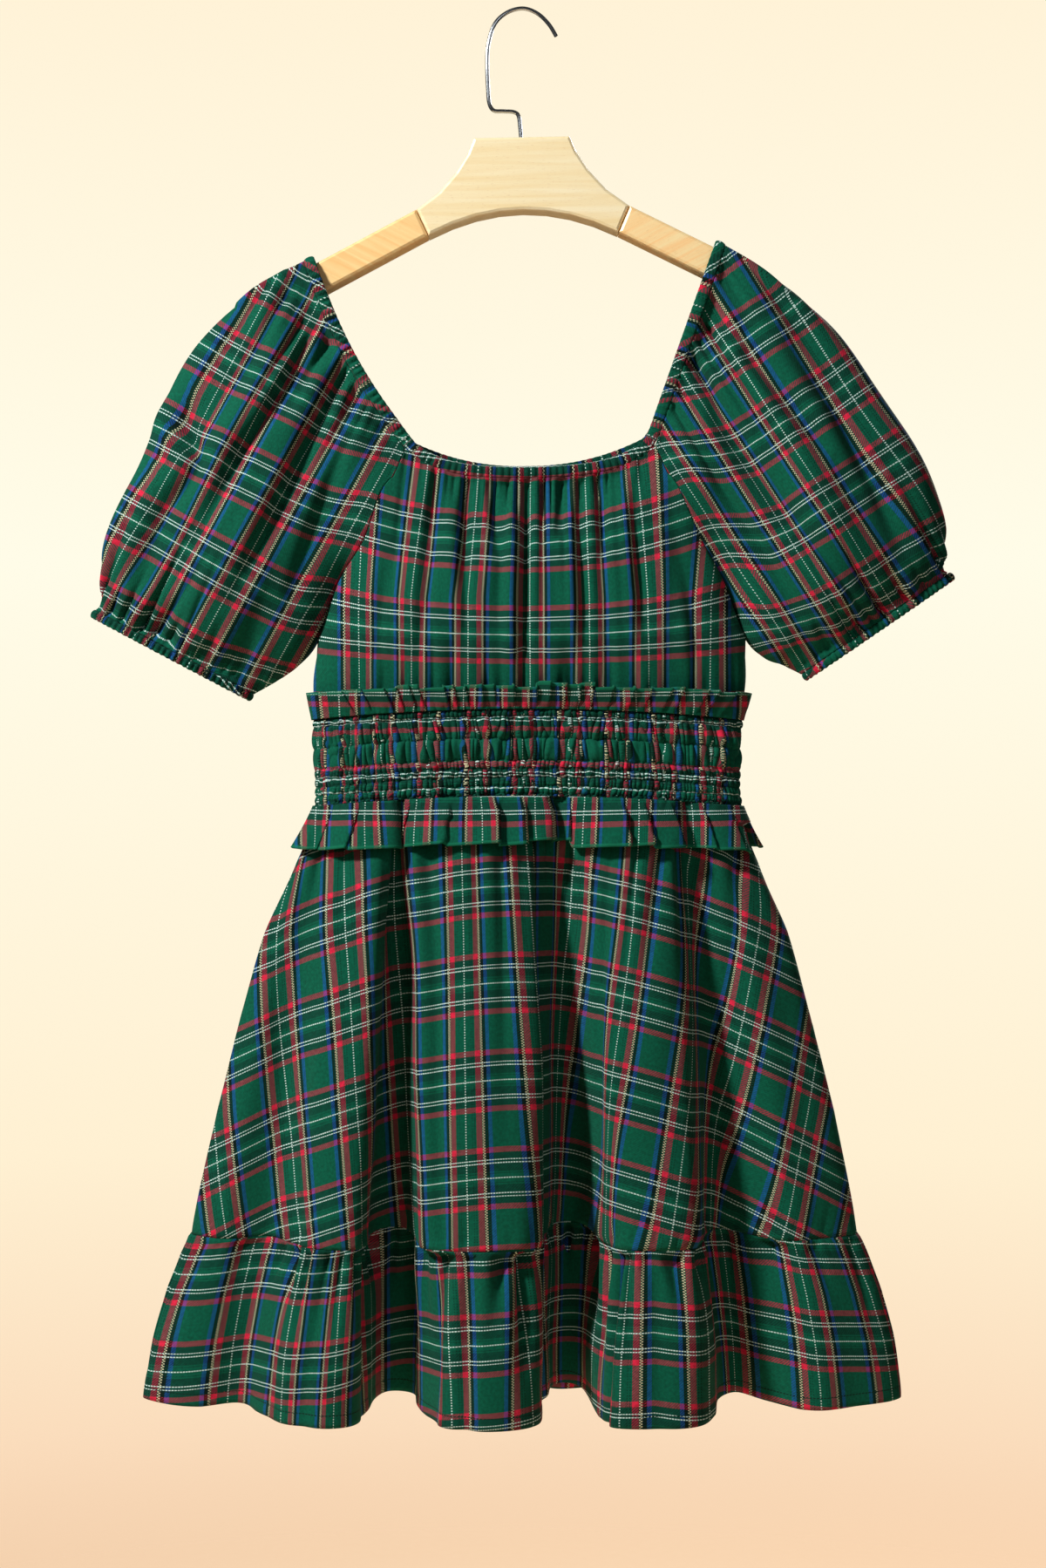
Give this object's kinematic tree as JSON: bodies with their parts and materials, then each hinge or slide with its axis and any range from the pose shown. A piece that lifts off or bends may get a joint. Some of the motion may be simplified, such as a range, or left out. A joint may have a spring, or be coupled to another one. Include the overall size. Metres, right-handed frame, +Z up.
{
  "type": "mini dress on hanger",
  "caption": "Plaid mini dress with a scoop neckline, puffed raglan sleeves, a smocked waist between frills and a flounced hem, hanging on a wooden hanger with a wire hook.",
  "frame": {"origin": "the inside top of the hanger's hook, where the rail carries it", "axes": "+Z up, the front faces -Y, +X to the right as seen from the front"},
  "size_m": [0.6498, 0.1222, 1.0529],
  "materials": {
    "plaid_cotton": "matte yarn-dyed twill in a green tartan with red, blue, black and white lines",
    "casing_cotton": "the same twill, gathered over elastic",
    "beech": "satin clear varnish",
    "chrome_wire": "polished"
  },
  "bodies": {
    "root": {"bodice_front": "plaid_cotton", "bodice_back": "plaid_cotton", "sleeve_left": "plaid_cotton", "sleeve_right": "plaid_cotton", "smocked_waist_front": "plaid_cotton", "smocked_waist_back": "plaid_cotton", "upper_frill_front": "plaid_cotton", "upper_frill_back": "plaid_cotton", "lower_frill_front": "plaid_cotton", "lower_frill_back": "plaid_cotton", "skirt_front": "plaid_cotton", "skirt_back": "plaid_cotton", "flounce_front": "plaid_cotton", "flounce_back": "plaid_cotton", "neck_casing": "casing_cotton", "cuff_casing_left": "casing_cotton", "cuff_casing_right": "casing_cotton", "hanger_yoke": "beech", "hanger_arm_left": "beech", "hanger_arm_right": "beech", "hanger_hook": "chrome_wire"}
  },
  "joints": []
}
